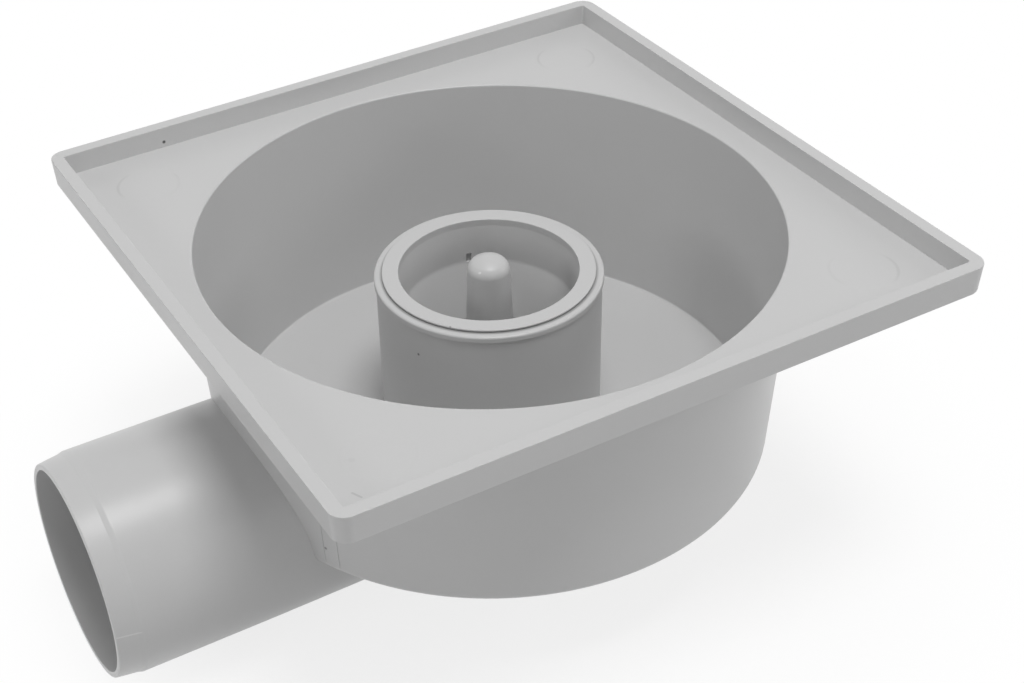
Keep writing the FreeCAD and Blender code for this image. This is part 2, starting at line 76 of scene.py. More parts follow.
class TrapBodySizes(bpy.types.PropertyGroup):
    tray_side: bpy.props.FloatProperty(
        name="Tray side", description="Outside of the square tray at its rim",
        default=BODY_HIGH.y - BODY_LOW.y, min=0.1, unit="LENGTH", precision=4)
    tray_corner: bpy.props.FloatProperty(
        name="Tray corner", description="Radius of the tray's upright corners",
        default=0.0035, min=0.0005, unit="LENGTH", precision=4)
    tray_height: bpy.props.FloatProperty(
        name="Tray height", description="Outside height of the tray",
        default=0.0065, min=0.002, unit="LENGTH", precision=4)
    tray_draft: bpy.props.FloatProperty(
        name="Tray draft", description="Taper of the tray's outside",
        default=math.radians(3.0), unit="ROTATION")
    rim_width: bpy.props.FloatProperty(
        name="Rim width", description="Top width of the rim round the grate recess",
        default=0.003, min=0.001, unit="LENGTH", precision=4)
    rim_round: bpy.props.FloatProperty(
        name="Rim rounding", description="Rounding of the tray's outer and inner edges",
        default=0.0002, min=0.0001, unit="LENGTH", precision=5)
    recess_depth: bpy.props.FloatProperty(
        name="Recess depth", description="Depth of the grate recess",
        default=0.005, min=0.001, unit="LENGTH", precision=4)
    mouth_radius: bpy.props.FloatProperty(
        name="Mouth radius", description="Inside radius of the bowl at the tray floor",
        default=0.0642, min=0.03, unit="LENGTH", precision=4)
    mouth_round: bpy.props.FloatProperty(
        name="Mouth rounding", description="Rounding of the bowl's mouth",
        default=0.0004, min=0.0001, unit="LENGTH", precision=4)
    bowl_depth: bpy.props.FloatProperty(
        name="Bowl depth", description="Depth of the bowl below the tray floor",
        default=0.0499, min=0.02, unit="LENGTH", precision=4)
    floor_radius: bpy.props.FloatProperty(
        name="Floor radius", description="Inside radius of the bowl at its floor",
        default=0.0603, min=0.03, unit="LENGTH", precision=4)
    wall_top: bpy.props.FloatProperty(
        name="Wall at the tray", description="Thickness of the bowl wall below the tray",
        default=0.0019, min=0.001, unit="LENGTH", precision=4)
    wall_foot: bpy.props.FloatProperty(
        name="Wall at the floor", description="Thickness of the bowl wall at its floor",
        default=0.0028, min=0.001, unit="LENGTH", precision=4)
    floor_thickness: bpy.props.FloatProperty(
        name="Floor thickness", description="Thickness of the bowl floor",
        default=0.0018, min=0.001, unit="LENGTH", precision=4)
    pipe_radius: bpy.props.FloatProperty(
        name="Pipe radius", description="Outside radius of standpipe and outlet",
        default=0.0251, min=0.01, unit="LENGTH", precision=4)
    pipe_wall: bpy.props.FloatProperty(
        name="Pipe wall", description="Wall of standpipe and outlet",
        default=0.0023, min=0.001, unit="LENGTH", precision=4)
    standpipe_height: bpy.props.FloatProperty(
        name="Standpipe height", description="Height of the standpipe above the bowl floor",
        default=0.0381, min=0.01, unit="LENGTH", precision=4)
    bead_proud: bpy.props.FloatProperty(
        name="Bead", description="How far the bead round the standpipe's rim stands out",
        default=0.0004, min=0.0, unit="LENGTH", precision=5)
    bead_height: bpy.props.FloatProperty(
        name="Bead height", description="Height of the bead, which runs out into the standpipe",
        default=0.0016, min=0.0002, unit="LENGTH", precision=4)
    outlet_reach: bpy.props.FloatProperty(
        name="Outlet reach", description="Bowl axis to the mouth of the outlet",
        default=-BODY_LOW.x, min=0.08, unit="LENGTH", precision=4)
    lead_length: bpy.props.FloatProperty(
        name="Reduced end", description="Length of the reduced end of the outlet",
        default=0.0054, min=0.001, unit="LENGTH", precision=4)
    lead_step: bpy.props.FloatProperty(
        name="Step", description="Step down to the reduced end",
        default=0.00035, min=0.0, unit="LENGTH", precision=5)
    lead_drop: bpy.props.FloatProperty(
        name="Drop", description="Further drop of the reduced end at the mouth",
        default=0.0006, min=0.0, unit="LENGTH", precision=5)
    channel_radius: bpy.props.FloatProperty(
        name="Channel radius", description="Outside radius of the channel at its round end",
        default=0.0246, min=0.01, unit="LENGTH", precision=4)
    pad_proud: bpy.props.FloatProperty(
        name="Slide pad", description="Thickness of each step of the pad on the bowl wall",
        default=0.0001, min=0.0, unit="LENGTH", precision=5)
    pad_angle: bpy.props.FloatProperty(
        name="Slide pad angle", description="Angle that the pad takes of the bowl wall",
        default=math.radians(58.0), unit="ROTATION")
    pad_inner_angle: bpy.props.FloatProperty(
        name="Inner pad angle", description="Angle that the pad's inner step takes of the wall",
        default=math.radians(51.6), unit="ROTATION")


class InsertSizes(bpy.types.PropertyGroup):
    lip_radius: bpy.props.FloatProperty(
        name="Lip radius", description="Outside radius of the insert's lip",
        default=INSERT_HIGH.x, min=0.01, unit="LENGTH", precision=4)
    lip_height: bpy.props.FloatProperty(
        name="Lip height", description="Height of the lip above the standpipe",
        default=0.0007, min=0.0002, unit="LENGTH", precision=4)
    plug_clearance: bpy.props.FloatProperty(
        name="Plug clearance", description="Radial clearance of the plug in the standpipe",
        default=0.00015, min=0.0, unit="LENGTH", precision=5)
    socket_radius: bpy.props.FloatProperty(
        name="Socket radius", description="Inside radius of the insert at its lip",
        default=0.020, min=0.01, unit="LENGTH", precision=4)
    band_height: bpy.props.FloatProperty(
        name="Straight band", description="Height of the straight band below the lip",
        default=0.0017, min=0.0002, unit="LENGTH", precision=4)
    seat_radius: bpy.props.FloatProperty(
        name="Seat radius", description="Inside radius where the tapered socket ends",
        default=0.0193, min=0.01, unit="LENGTH", precision=4)
    seat_depth: bpy.props.FloatProperty(
        name="Seat depth", description="Depth of the tapered socket below the lip",
        default=0.0107, min=0.002, unit="LENGTH", precision=4)
    seat_round: bpy.props.FloatProperty(
        name="Seat rounding", description="Rounding where the socket runs into the funnel",
        default=0.004, min=0.0, unit="LENGTH", precision=4)
    throat_radius: bpy.props.FloatProperty(
        name="Throat radius", description="Inside radius of the throat",
        default=0.0148, min=0.005, unit="LENGTH", precision=4)
    throat_length: bpy.props.FloatProperty(
        name="Throat length", description="Length of the throat collar",
        default=0.005, min=0.001, unit="LENGTH", precision=4)
    funnel_wall: bpy.props.FloatProperty(
        name="Funnel wall", description="Wall of funnel and throat",
        default=0.0016, min=0.0005, unit="LENGTH", precision=4)
    pin_radius: bpy.props.FloatProperty(
        name="Pin radius", description="Radius of the centre pin below its domed top",
        default=0.00475, min=0.001, unit="LENGTH", precision=5)
    dome_radius: bpy.props.FloatProperty(
        name="Dome radius", description="Radius of the pin's domed top",
        default=0.0065, min=0.001, unit="LENGTH", precision=4)
    pin_draft: bpy.props.FloatProperty(
        name="Pin draft", description="Taper of the centre pin down to the funnel",
        default=math.radians(2.3), unit="ROTATION")
    rib_width: bpy.props.FloatProperty(
        name="Rib width", description="Thickness of a rib in the throat",
        default=0.002, min=0.0005, unit="LENGTH", precision=4)
    notch_angle: bpy.props.FloatProperty(
        name="Notch direction", description="Direction of the notch from the X axis",
        default=math.radians(73.6), unit="ROTATION")
    notch_span: bpy.props.FloatProperty(
        name="Notch span", description="Angle that the notch takes of the socket wall",
        default=math.radians(3.6), unit="ROTATION")
    notch_height: bpy.props.FloatProperty(
        name="Notch height", description="Height of the notch above the funnel",
        default=0.0022, min=0.0005, unit="LENGTH", precision=4)
    notch_depth: bpy.props.FloatProperty(
        name="Notch depth", description="Depth of the notch in the socket wall",
        default=0.0009, min=0.0002, unit="LENGTH", precision=4)


class PlasticFinish(bpy.types.PropertyGroup):
    body_colour: bpy.props.FloatVectorProperty(
        name="Body colour", description="Colour of the moulded trap body",
        default=(0.61, 0.61, 0.61), min=0.0, max=1.0, subtype="COLOR")
    insert_colour: bpy.props.FloatVectorProperty(
        name="Insert colour", description="Colour of the standpipe insert",
        default=(0.595, 0.595, 0.595), min=0.0, max=1.0, subtype="COLOR")
    roughness: bpy.props.FloatProperty(
        name="Roughness", description="Mean roughness of the satin plastic",
        default=0.34, min=0.0, max=1.0, subtype="FACTOR")
    mark_radius: bpy.props.FloatProperty(
        name="Ejector mark radius", description="Radius of the round marks in the tray's corners",
        default=0.0070, min=0.001, unit="LENGTH", precision=4)
    mark_place: bpy.props.FloatProperty(
        name="Ejector mark place", description="Distance of a mark from the middle along X and Y",
        default=0.0565, min=0.01, unit="LENGTH", precision=4)
    # Painted shade: how much darker the line round an ejector mark is drawn
    mark_painted_shade: bpy.props.FloatProperty(
        name="Ejector mark tone", description="How much darker the line round a mark is",
        default=0.09, min=0.0, max=1.0, subtype="FACTOR")


class StageSettings(bpy.types.PropertyGroup):
    floor_colour: bpy.props.FloatVectorProperty(
        name="Floor colour", description="Colour of the floor under the trap",
        default=(0.75, 0.75, 0.75), min=0.0, max=1.0, subtype="COLOR")
    room_light: bpy.props.FloatProperty(
        name="Room light", description="World strength from every side",
        default=0.345, min=0.0)
    top_power: bpy.props.FloatProperty(
        name="Top lamp", description="Power of the large lamp above and in front, in watts",
        default=6.9, min=0.0)
    right_power: bpy.props.FloatProperty(
        name="Right lamp", description="Power of the low lamp on the right, in watts",
        default=1.45, min=0.0)
    left_power: bpy.props.FloatProperty(
        name="Left lamp", description="Power of the low lamp on the outlet's side, in watts",
        default=1.45, min=0.0)
    floor_white: bpy.props.FloatProperty(
        name="Floor whiteness", description="Share of plain white seen in the floor near the trap",
        default=0.80, min=0.0, max=1.0, subtype="FACTOR")
    shadow_reach: bpy.props.FloatProperty(
        name="Shadow reach", description="Distance from the middle where the floor turns white",
        default=0.135, min=0.05, unit="LENGTH", precision=3)


# Mesh helpers


def start_piece(name, adder, **settings):
    """Add a primitive as the only selected object and give it its name."""
    bpy.ops.object.select_all(action="DESELECT")
    adder(**settings)
    piece = bpy.context.active_object
    piece.name = name
    piece.data.name = name
    return piece


def tidy_mesh():
    """In edit mode: weld what meets and point the faces outwards."""
    bpy.ops.mesh.select_all(action="SELECT")
    bpy.ops.mesh.remove_doubles(threshold=WELD)
    bpy.ops.mesh.dissolve_degenerate(threshold=WELD / 10)
    bpy.ops.mesh.select_all(action="SELECT")
    bpy.ops.mesh.normals_make_consistent(inside=False)


def rounded(corners, segments=6):
    """Corner points with arcs: (across, up) stays sharp, and a third number is the rounding."""
    count = len(corners)
    points = []
    for i, corner in enumerate(corners):
        place = Vector(corner[:2])
        if len(corner) < 3 or corner[2] == 0:
            points.append(place)
            continue
        before = (Vector(corners[i - 1][:2]) - place).normalized()
        after = (Vector(corners[(i + 1) % count][:2]) - place).normalized()
        half = before.angle(after) / 2
        centre = place + (before + after).normalized() * (corner[2] / math.sin(half))
        first = place + before * (corner[2] / math.tan(half)) - centre
        last = place + after * (corner[2] / math.tan(half)) - centre
        for step in range(segments + 1):
            share = step / segments
            sweep = first.angle(last)
            near = math.sin((1 - share) * sweep) / math.sin(sweep)
            far = math.sin(share * sweep) / math.sin(sweep)
            points.append(centre + first * near + last * far)
    return points


def arc(centre, radius, start, end, steps):
    """Points on an arc in a profile, angles in degrees from across towards up."""
    points = []
    for step in range(steps + 1):
        angle = math.radians(start + (end - start) * step / steps)
        points.append((centre[0] + radius * math.cos(angle), centre[1] + radius * math.sin(angle)))
    return points


def turned(name, profile, closed=True, level=None, steps=ROUND_STEPS,
           angle=2 * math.pi, start=0.0):
    """Piece turned from (radius, height) points, or from (along X, radius) about a level axis."""
    if level is None:
        places = [Vector((radius * math.cos(start), radius * math.sin(start), up))
                  for radius, up in profile]
        centre = (0, 0, 0)
        axis = (0, 0, 1)
    else:
        places = [Vector((along, 0, level + out)) for along, out in profile]
        centre = (0, 0, level)
        axis = (1, 0, 0)
    piece = start_piece(name, bpy.ops.mesh.primitive_plane_add, size=MM, location=places[0])
    bpy.ops.object.transform_apply(location=True, rotation=False, scale=False)
    bpy.ops.object.mode_set(mode="EDIT")
    bpy.ops.mesh.select_mode(type="VERT")
    bpy.ops.mesh.select_all(action="SELECT")
    bpy.ops.mesh.merge(type="CENTER")
    if closed:
        places.append(places[0])
    for here, there in zip(places, places[1:]):
        bpy.ops.mesh.extrude_region_move(TRANSFORM_OT_translate={"value": there - here})
    bpy.ops.mesh.select_all(action="SELECT")
    bpy.ops.mesh.remove_doubles(threshold=WELD)
    bpy.ops.mesh.spin(steps=steps, angle=-angle, center=centre, axis=axis)
    if angle < 2 * math.pi:
        # the two ends of a part turn get their faces
        bpy.ops.mesh.select_all(action="SELECT")
        bpy.ops.mesh.remove_doubles(threshold=WELD)
        bpy.ops.mesh.select_all(action="DESELECT")
        bpy.ops.mesh.select_non_manifold(extend=False, use_boundary=True)
        bpy.ops.mesh.edge_face_add()
    tidy_mesh()
    bpy.ops.object.mode_set(mode="OBJECT")
    return piece


def select_edges(piece, chosen):
    """In edit mode on the piece: select the edges whose two ends the function chooses."""
    bpy.ops.mesh.select_mode(type="EDGE")
    bpy.ops.mesh.select_all(action="DESELECT")
    bpy.ops.object.mode_set(mode="OBJECT")
    vertices = piece.data.vertices
    for edge in piece.data.edges:
        edge.select = chosen(vertices[edge.vertices[0]].co, vertices[edge.vertices[1]].co)
    bpy.ops.object.mode_set(mode="EDIT")


def select_faces(piece, chosen):
    """In edit mode on the piece: select the faces whose centre and normal the function chooses."""
    bpy.ops.mesh.select_mode(type="FACE")
    bpy.ops.mesh.select_all(action="DESELECT")
    bpy.ops.object.mode_set(mode="OBJECT")
    for face in piece.data.polygons:
        face.select = chosen(face.center, face.normal)
    bpy.ops.object.mode_set(mode="EDIT")


def combine(piece, other, operation):
    """Join another piece to this one, or cut it out of it, and remove the other."""
    bpy.ops.object.select_all(action="DESELECT")
    piece.select_set(True)
    bpy.context.view_layer.objects.active = piece
    modifier = piece.modifiers.new("Combine", "BOOLEAN")
    modifier.operation = operation
    modifier.solver = "EXACT"
    modifier.object = other
    before = len(piece.data.polygons)
    bpy.ops.object.modifier_apply(modifier=modifier.name)
    bpy.data.objects.remove(other)
    if len(piece.data.polygons) in (0, before):
        raise RuntimeError(f"{piece.name}: {operation} changed nothing")


def finish_piece(piece, name, material, node):
    """Name the piece, smooth its curved faces and put it in the place of its node."""
    piece.name = name
    piece.data.name = name
    bpy.ops.object.select_all(action="DESELECT")
    piece.select_set(True)
    bpy.context.view_layer.objects.active = piece
    bpy.ops.object.mode_set(mode="EDIT")
    tidy_mesh()
    bpy.ops.object.mode_set(mode="OBJECT")
    bpy.ops.object.shade_smooth_by_angle(angle=SHARP_TURN)
    weighting = piece.modifiers.new("Even shading", "WEIGHTED_NORMAL")
    weighting.mode = "FACE_AREA"
    weighting.keep_sharp = True
    bpy.ops.object.modifier_apply(modifier=weighting.name)
    piece.data.materials.clear()
    piece.data.materials.append(bpy.data.materials[material])
    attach(piece, "root")
    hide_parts(node)


# Levels that pieces share


def levels():
    """Heights in metres that several pieces share, from the tray's rim, which is at 0."""
    sizes = bpy.context.scene.trap_body_sizes
    insert = bpy.context.scene.trap_insert_sizes
    tray_floor = -sizes.recess_depth
    bowl_floor = tray_floor - sizes.bowl_depth
    standpipe_top = bowl_floor + sizes.standpipe_height
    lip_top = standpipe_top + insert.lip_height
    seat = lip_top - insert.seat_depth
    return {
        "tray_floor": tray_floor,
        "bowl_floor": bowl_floor,
        "outlet": bowl_floor - sizes.floor_thickness,
        "standpipe_top": standpipe_top,
        "lip_top": lip_top,
        "seat": seat,
        "throat_top": INSERT_LOW.z + insert.throat_length,
        "throat_foot": INSERT_LOW.z,
    }


# Trap body


def model_tray(sizes):
    """Square tray: a slab with rounded corners, inset for its rim and pushed down inside it."""
    side = sizes.tray_side
    height = sizes.tray_height
    tray = start_piece("Tray", bpy.ops.mesh.primitive_cube_add, size=1,
                       location=(0, 0, -height / 2))
    tray.dimensions = (side, side, height)
    bpy.ops.object.transform_apply(location=True, rotation=False, scale=True)
    bpy.ops.object.mode_set(mode="EDIT")
    select_edges(tray, lambda a, b: abs(a.z - b.z) > height / 2)
    bpy.ops.mesh.bevel(offset=sizes.tray_corner, offset_type="OFFSET", segments=10, affect="EDGES")
    select_faces(tray, lambda centre, normal: normal.z < -LEVEL_FACE)
    shrink = 1 - 2 * height * math.tan(sizes.tray_draft) / side
    bpy.ops.transform.resize(value=(shrink, shrink, 1), center_override=(0, 0, 0))
    select_faces(tray, lambda centre, normal: normal.z > LEVEL_FACE)
    bpy.ops.mesh.inset(thickness=sizes.rim_width, depth=0)
    select_faces(tray, lambda centre, normal: normal.z > LEVEL_FACE and centre.xy.length < MM)
    bpy.ops.mesh.extrude_region_move(TRANSFORM_OT_translate={"value": (0, 0, -sizes.recess_depth)})
    half = side / 2 - sizes.rim_width
    taper = (half - sizes.recess_depth * math.tan(RECESS_DRAFT)) / half
    bpy.ops.transform.resize(value=(taper, taper, 1), center_override=(0, 0, 0))
    for chosen in (lambda centre, normal: normal.z > LEVEL_FACE and abs(centre.z) < MM / 100,
                   lambda centre, normal: normal.z < -LEVEL_FACE):
        select_faces(tray, chosen)
        bpy.ops.mesh.region_to_loop()
        bpy.ops.mesh.bevel(offset=sizes.rim_round, offset_type="OFFSET", segments=2,
                           affect="EDGES")
    tidy_mesh()
    bpy.ops.object.mode_set(mode="OBJECT")
    return tray


def model_outlet(sizes, at):
    """Outlet tube with its reduced end, closed by a round end under the standpipe."""
    outer = sizes.pipe_radius
    bore = outer - sizes.pipe_wall
    reduced = outer - sizes.lead_step
    mouth = -sizes.outlet_reach
    lead = mouth + sizes.lead_length
    half_step = 0.0006
    # the channel widens by its draft until it is this much short of the tube
    short = 0.00002
    profile = arc((0, 0), sizes.channel_radius, 0, 90, 24)
    profile += rounded([
        (0, sizes.channel_radius),
        (-sizes.mouth_radius - sizes.wall_top, outer - short),
        (lead + half_step, outer, 0.0012),
        (lead - half_step, reduced, 0.0009),
        (mouth, reduced - sizes.lead_drop, 0.0004),
        (mouth, bore, 0.0002),
        (0, bore),
    ], 3)[1:-1]
    profile += arc((0, 0), bore, 90, 0, 24)
    return turned("Outlet", profile, closed=False, level=at["outlet"], steps=PIPE_STEPS)


def bowl_radius(sizes, at, up):
    """Outside radius of the tapered bowl at a height."""
    foot = sizes.floor_radius + sizes.wall_foot
    rise = (sizes.mouth_radius + sizes.wall_top - foot) / (-sizes.tray_height - at["outlet"])
    return foot + rise * (up - at["outlet"])


def model_bowl_block(sizes, at):
    """Outside of the bowl as a solid drum, tapered and rounded at its foot."""
    foot = at["outlet"]
    top = -sizes.tray_height + BOWL_SINK * (sizes.tray_height - sizes.recess_depth)
    return turned("Bowl", rounded([
        (0, foot),
        (bowl_radius(sizes, at, foot), foot, 0.002),
        (bowl_radius(sizes, at, top), top),
        (0, top),
    ], 6), closed=False)


def model_slide_pad(sizes, at, proud, angle):
    """Pad a hair proud of the bowl wall round the outlet, where the mould's slides met the drum."""
    top = -sizes.tray_height + PAD_SINK * (sizes.tray_height - sizes.recess_depth)
    low = at["outlet"] + 0.002
    inside = sizes.floor_radius + sizes.wall_foot / 2
    return turned("SlidePad", [
        (inside, low),
        (bowl_radius(sizes, at, low) + proud, low),
        (bowl_radius(sizes, at, top) + proud, top),
        (inside, top),
    ], steps=28, angle=angle, start=math.pi - angle / 2)


def model_cavity(sizes, at):
    """Water space round the standpipe, open upwards, as a cutter."""
    above = 0.002
    opening = sizes.mouth_radius + 2.0 * sizes.mouth_round
    bead = sizes.pipe_radius + sizes.bead_proud
    bead_foot = at["standpipe_top"] - sizes.bead_height
    return turned("Cavity", rounded([
        (0, at["standpipe_top"]),
        (bead, at["standpipe_top"], 0.0005),
        (bead, bead_foot + 0.5 * sizes.bead_proud, 0.0002),
        (sizes.pipe_radius, bead_foot, 0.0002),
        (sizes.pipe_radius, at["bowl_floor"], 0.0004),
        (sizes.floor_radius, at["bowl_floor"], 0.0005),
        (sizes.mouth_radius, at["tray_floor"], sizes.mouth_round),
        (opening, at["tray_floor"]),
        (opening, above),
        (0, above),
    ], 5), closed=False)


def model_standpipe_bore(sizes, at):
    """Bore of the standpipe down into the channel under the floor, as a cutter."""
    # a hair narrower than the channel's bore, so that the two faces don't coincide
    radius = sizes.pipe_radius - sizes.pipe_wall - 0.00004
    low = at["outlet"] - 0.0003
    high = at["standpipe_top"] + MM
    return turned("StandpipeBore", [(0, low), (radius, low), (radius, high), (0, high)],
                  closed=False, steps=PIPE_STEPS)


class TRAP_OT_body(bpy.types.Operator):
    """Model the one-piece trap body: tray, bowl, standpipe, channel and outlet spigot"""

    bl_idname = "trap.body"
    bl_label = "Trap body"

    def execute(self, context):
        sizes = context.scene.trap_body_sizes
        at = levels()
        body = model_outlet(sizes, at)
        combine(body, model_bowl_block(sizes, at), "UNION")
        for proud, angle in ((sizes.pad_proud, sizes.pad_angle),
                             (2 * sizes.pad_proud, sizes.pad_inner_angle)):
            combine(body, model_slide_pad(sizes, at, proud, angle), "UNION")
        combine(body, model_tray(sizes), "UNION")
        combine(body, model_cavity(sizes, at), "DIFFERENCE")
        combine(body, model_standpipe_bore(sizes, at), "DIFFERENCE")
        finish_piece(body, "TrapBody", "Body plastic", "trap_body")
        return {"FINISHED"}


# Standpipe insert


def model_sleeve(sizes, insert, at):
    """Lip, plug, tapered socket, funnel and throat collar in one turned wall."""
    bore = sizes.pipe_radius - sizes.pipe_wall
    plug = bore - insert.plug_clearance
    slope = math.atan2(insert.seat_radius - insert.throat_radius, at["seat"] - at["throat_top"])
    slant = insert.funnel_wall / math.cos(slope)
    collar = insert.throat_radius + insert.funnel_wall
    collar_top = at["throat_top"] - (slant - insert.funnel_wall) / math.tan(slope)
    band_foot = at["lip_top"] - insert.band_height
    # below its straight band the socket wall swings in to a waist in one long curve
    waist_radius = insert.seat_radius + 0.2 * (insert.socket_radius - insert.seat_radius)
    waist = band_foot - 0.42 * (band_foot - at["seat"])
    return turned("Sleeve", rounded([
        (insert.socket_radius, at["lip_top"], 0.0002),
        (insert.socket_radius, band_foot, 0.003),
        (waist_radius, waist, 0.05),
        (insert.seat_radius, at["seat"], insert.seat_round),
        (insert.throat_radius, at["throat_top"], 0.0008),
        (insert.throat_radius, at["throat_foot"]),
        (collar, at["throat_foot"]),
        (collar, collar_top),
        (insert.seat_radius + slant, at["seat"]),
        (plug, at["seat"]),
        (plug, at["standpipe_top"]),
        (insert.lip_radius, at["standpipe_top"], 0.0004),
        (insert.lip_radius, at["lip_top"], 0.0002),
    ], 4))


def model_pin(insert, at):
    """Centre pin with its domed top and rounded shoulder."""
    middle = INSERT_HIGH.z - insert.dome_radius
    slope = math.degrees(math.acos(insert.pin_radius / insert.dome_radius))
    shoulder = middle + insert.dome_radius * math.sin(math.radians(slope))
    foot = insert.pin_radius + (shoulder - at["seat"]) * math.tan(insert.pin_draft)
    # the shoulder's rounding takes the outermost degrees of the dome
    taken = 12
    dome = arc((0, middle), insert.dome_radius, slope + taken, 90, 14)
    profile = [(0, at["throat_foot"]), (foot, at["throat_foot"]), (foot, at["seat"])]
    profile += rounded([
        (foot, at["seat"]),
        (insert.pin_radius, shoulder, 0.003),
        dome[0],
    ], 4)[1:-1]
    return turned("Pin", profile + dome, closed=False, steps=PIN_STEPS)


def model_rib(insert, at, direction):
    """Rib from inside the pin into the throat wall, a little short of the throat's ends."""
    inner = 0.6 * insert.pin_radius
    length = insert.throat_radius + insert.funnel_wall / 2 - inner
    short = 0.01 * insert.throat_length
    height = insert.throat_length - 2 * short
    middle = Matrix.Rotation(direction, 3, "Z") @ Vector((inner + length / 2, 0, 0))
    middle.z = at["throat_foot"] + short + height / 2
    rib = start_piece("Rib", bpy.ops.mesh.primitive_cube_add, size=1, location=middle,
                      rotation=(0, 0, direction))
    rib.dimensions = (length, insert.rib_width, height)
    bpy.ops.object.transform_apply(location=True, rotation=True, scale=True)
    bpy.ops.object.mode_set(mode="EDIT")
    select_edges(rib, lambda a, b: a.z > middle.z and b.z > middle.z)
    bpy.ops.mesh.bevel(offset=0.0003, offset_type="OFFSET", segments=2, affect="EDGES")
    tidy_mesh()
    bpy.ops.object.mode_set(mode="OBJECT")
    return rib


def model_notch(insert, at):
    """Small notch in the foot of the socket wall, as a cutter."""
    inside = insert.seat_radius - MM
    deep = insert.seat_radius + insert.notch_depth
    low = at["seat"]
    high = low + insert.notch_height
    return turned("Notch", [(inside, low), (deep, low), (deep, high), (inside, high)], steps=8,
                  angle=insert.notch_span, start=insert.notch_angle - insert.notch_span / 2)


class TRAP_OT_insert(bpy.types.Operator):
    """Model the insert pressed into the standpipe, with its funnel and centre pin"""

    bl_idname = "trap.insert"
    bl_label = "Standpipe insert"

    def execute(self, context):
        insert = context.scene.trap_insert_sizes
        at = levels()
        piece = model_sleeve(context.scene.trap_body_sizes, insert, at)
        combine(piece, model_notch(insert, at), "DIFFERENCE")
        pin = model_pin(insert, at)
        for direction in (60, 180, 300):
            combine(pin, model_rib(insert, at, math.radians(direction)), "UNION")
        combine(piece, pin, "UNION")
        finish_piece(piece, "StandpipeInsert", "Insert plastic", "standpipe_insert")
        return {"FINISHED"}


# Materials

# How much rougher the insert's plastic is than the body's
INSERT_ROUGHER = 0.04
# Half the width of an ejector mark's edge, and how far the mark sinks in units of the bump
MARK_EDGE = 0.0003
MARK_SINK = 1.2
# Heights under the tray floor between which the marks fade out
MARK_LEVELS = (-0.0056, -0.0052)
# Distances from a mark's edge between which its line of painted shade fades out, and the share of
# that shade on its inner side
MARK_SHADE_LINE = (0.0001, 0.0005)
MARK_SHADE_INNER = 0.3
# Direction to the right in the first view; the painted shade round the ejector marks lies on their
# sides along it
VIEW_SIDE = (0.89, -0.45)
# Distances from the seam under the lip between which its painted shade fades, and the darkest tone
SEAM_REACH = (0.0001, 0.0007)
SEAM_TONE = 0.58
# Small marks: place, half length, width and tone; lengths are in millimetres
BODY_MARKS = (
    ((-65.19, -64.22, -5.0), (0.43, -0.94, 0.0), 0.32, -0.18),
    ((-61.5, -55.1, -5.0), (0.0, 0.0, 0.0), 0.9, -0.04),
    ((-46.65, 70.9, -3.65), (0.0, 0.0, 0.0), 0.55, -0.85),
    ((-23.3, -9.34, -24.9), (0.0, 0.0, 0.0), 0.4, -0.7),
    ((-56.97, -28.02, -50.3), (0.0, 0.0, 0.0), 0.5, -0.5),
    ((-100.36, -24.47, -56.1), (2.58, -0.28, -0.2), 0.28, 0.16),
)
INSERT_SPECK_AND_HIGHLIGHT = (
    ((-18.35, -14.95, -16.05), (0.0, 0.0, 0.0), 0.35, -0.5),
    # A light spot on the pin's domed top: painted highlight where a small nick catches the light
    ((-3.93, -2.19, -14.95), (0.35, -0.15, 0.05), 0.4, 0.3),
)


def add_node(tree, kind, place, **settings):
    """Add a node at its place in the editor, with its settings."""
    node = tree.nodes.new(kind)
    node.location = place
    for name, value in settings.items():
        setattr(node, name, value)
    return node


def feed(tree, values, sockets):
    """Give each socket its value: a number, or an output that is linked to it."""
    for value, socket in zip(values, sockets):
        if isinstance(value, (int, float)):
            socket.default_value = value
        else:
            tree.links.new(value, socket)


def calculate(tree, operation, place, *values, clamp=False):
    """Result of a math node; values are outputs or numbers."""
    node = add_node(tree, "ShaderNodeMath", place, operation=operation, use_clamp=clamp)
    feed(tree, values, node.inputs)
    return node.outputs[0]


def calculate_vector(tree, operation, place, *values):
    """Result of a vector math node: a number for a length, distance or dot product."""
    node = add_node(tree, "ShaderNodeVectorMath", place, operation=operation)
    feed(tree, values, node.inputs)
    number = operation in ("LENGTH", "DISTANCE", "DOT_PRODUCT")
    return node.outputs["Value" if number else "Vector"]


def map_range(tree, place, value, start, end, low=0.0, high=1.0, kind="SMOOTHSTEP"):
    """Low where the value is below the start, high where it is past the end, sloped between."""
    node = add_node(tree, "ShaderNodeMapRange", place, interpolation_type=kind)
    feed(tree, (value, start, end, low, high), node.inputs)
    return node.outputs["Result"]


def object_place(tree, place):
    """Object coordinates."""
    return add_node(tree, "ShaderNodeTexCoord", place).outputs["Object"]


def separate(tree, place, vector):
    """X, Y and Z of a vector."""
    node = add_node(tree, "ShaderNodeSeparateXYZ", place)
    tree.links.new(vector, node.inputs[0])
    return tuple(node.outputs)


def hypotenuse(tree, place, first, second):
    """Length of the slant over two values at right angles."""
    corner = add_node(tree, "ShaderNodeCombineXYZ", place)
    feed(tree, (first, second), corner.inputs)
    return calculate_vector(tree, "LENGTH", (place[0] + 150, place[1]), corner.outputs[0])


def add_noise(tree, place, where, scale, detail):
    noise = add_node(tree, "ShaderNodeTexNoise", place)
    noise.inputs["Scale"].default_value = scale
    noise.inputs["Detail"].default_value = detail
    tree.links.new(where, noise.inputs["Vector"])
    return noise.outputs["Fac"]


def start_group(name, inputs, outputs):
    """Empty shader group; its inputs and outputs are given as names with their kind of socket."""
    group = bpy.data.node_groups.new(name, "ShaderNodeTree")
    for side, sockets in (("INPUT", inputs), ("OUTPUT", outputs)):
        for socket, kind in sockets.items():
            group.interface.new_socket(socket, in_out=side, socket_type="NodeSocket" + kind)
    return group


